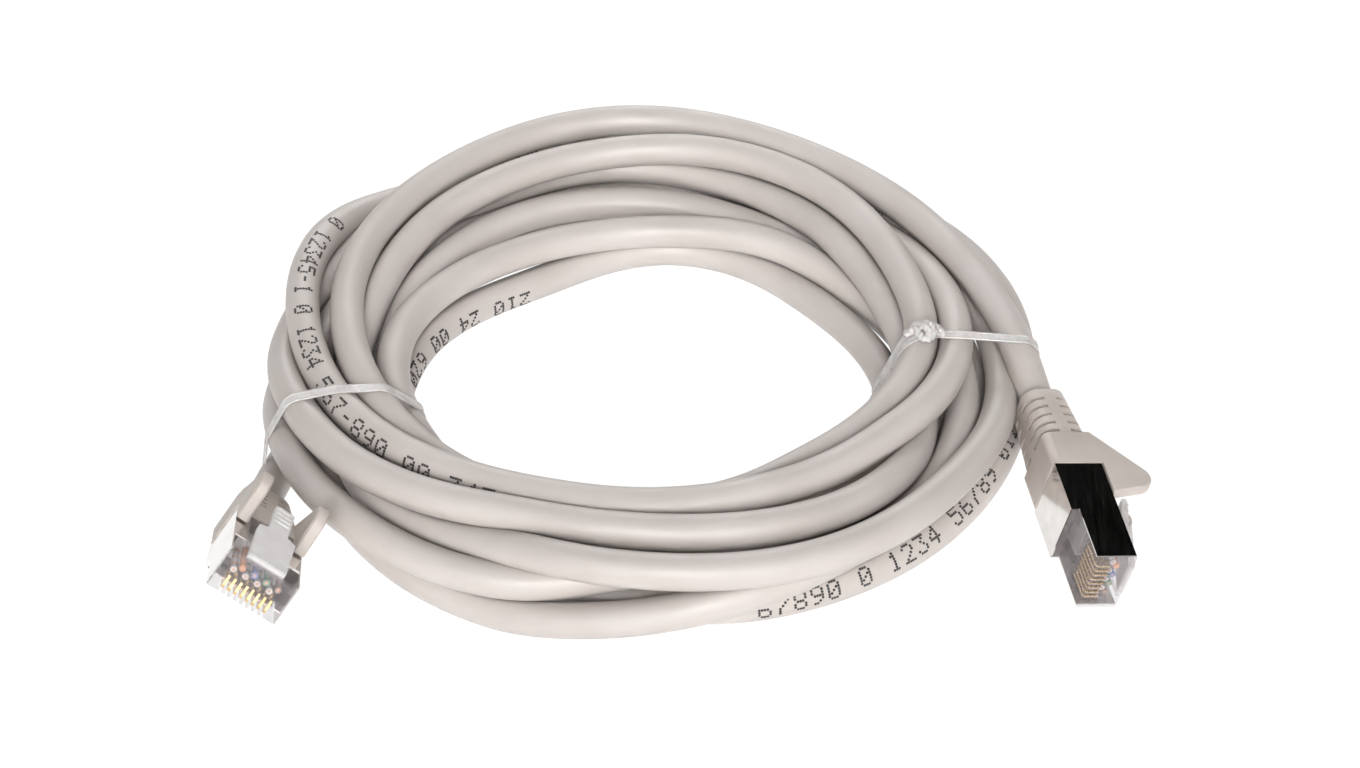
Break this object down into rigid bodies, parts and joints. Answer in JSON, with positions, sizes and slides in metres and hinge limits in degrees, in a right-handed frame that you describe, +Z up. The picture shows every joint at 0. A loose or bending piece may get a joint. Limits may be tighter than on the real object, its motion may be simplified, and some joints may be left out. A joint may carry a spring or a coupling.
{
  "type": "ethernet patch cable",
  "caption": "Coiled grey Ethernet patch cable with two shielded modular plugs, ribbed boots with latch guards, and two ribbon ties.",
  "frame": {"origin": "centre of the footprint, on the table that the coil lies on", "axes": "+Z up; +X along the longest side, towards the plug that stands on its side; +Y away from the plugs' noses"},
  "size_m": [0.1478, 0.1344, 0.0293],
  "materials": {
    "cord_jacket": "satin",
    "boot_plastic": "satin",
    "clear_plastic": "polished",
    "shield_metal": "polished",
    "gold_plate": "polished",
    "comb_plastic": "satin",
    "copper": "satin",
    "tie_plastic": "gloss",
    "wire_white_orange": "satin",
    "wire_orange": "satin",
    "wire_white_green": "satin",
    "wire_blue": "satin",
    "wire_white_blue": "satin",
    "wire_green": "satin",
    "wire_white_brown": "satin",
    "wire_brown": "satin"
  },
  "bodies": {
    "root": {"coil": "cord_jacket", "tie_left": "tie_plastic", "tie_right": "tie_plastic", "housing_a": "clear_plastic", "shield_a": "shield_metal", "contacts_a": "gold_plate", "load_bar_a": "comb_plastic", "cores_a": "copper", "boot_a": "boot_plastic", "lead_a": "cord_jacket", "wire_white_orange_a": "wire_white_orange", "wire_orange_a": "wire_orange", "wire_white_green_a": "wire_white_green", "wire_blue_a": "wire_blue", "wire_white_blue_a": "wire_white_blue", "wire_green_a": "wire_green", "wire_white_brown_a": "wire_white_brown", "wire_brown_a": "wire_brown", "housing_b": "clear_plastic", "shield_b": "shield_metal", "contacts_b": "gold_plate", "load_bar_b": "comb_plastic", "cores_b": "copper", "boot_b": "boot_plastic", "lead_b": "cord_jacket", "wire_white_orange_b": "wire_white_orange", "wire_orange_b": "wire_orange", "wire_white_green_b": "wire_white_green", "wire_blue_b": "wire_blue", "wire_white_blue_b": "wire_white_blue", "wire_green_b": "wire_green", "wire_white_brown_b": "wire_white_brown", "wire_brown_b": "wire_brown"},
    "latch_a": {"latch_a": "clear_plastic"},
    "latch_b": {"latch_b": "clear_plastic"}
  },
  "joints": [
    {"name": "latch_a_press", "type": "hinge", "parent": "root", "child": "latch_a", "pos_m": [-0.06155, -0.06225, 0.02564], "axis": [-0.8032, 0.1789, 0.5682], "range_deg": [0, 12], "stiffness_Nm_per_rad": 0.05},
    {"name": "latch_b_press", "type": "hinge", "parent": "root", "child": "latch_b", "pos_m": [0.06826, -0.04601, 0.00592], "axis": [0.175, -0.0457, 0.9835], "range_deg": [0, 12], "stiffness_Nm_per_rad": 0.05}
  ]
}
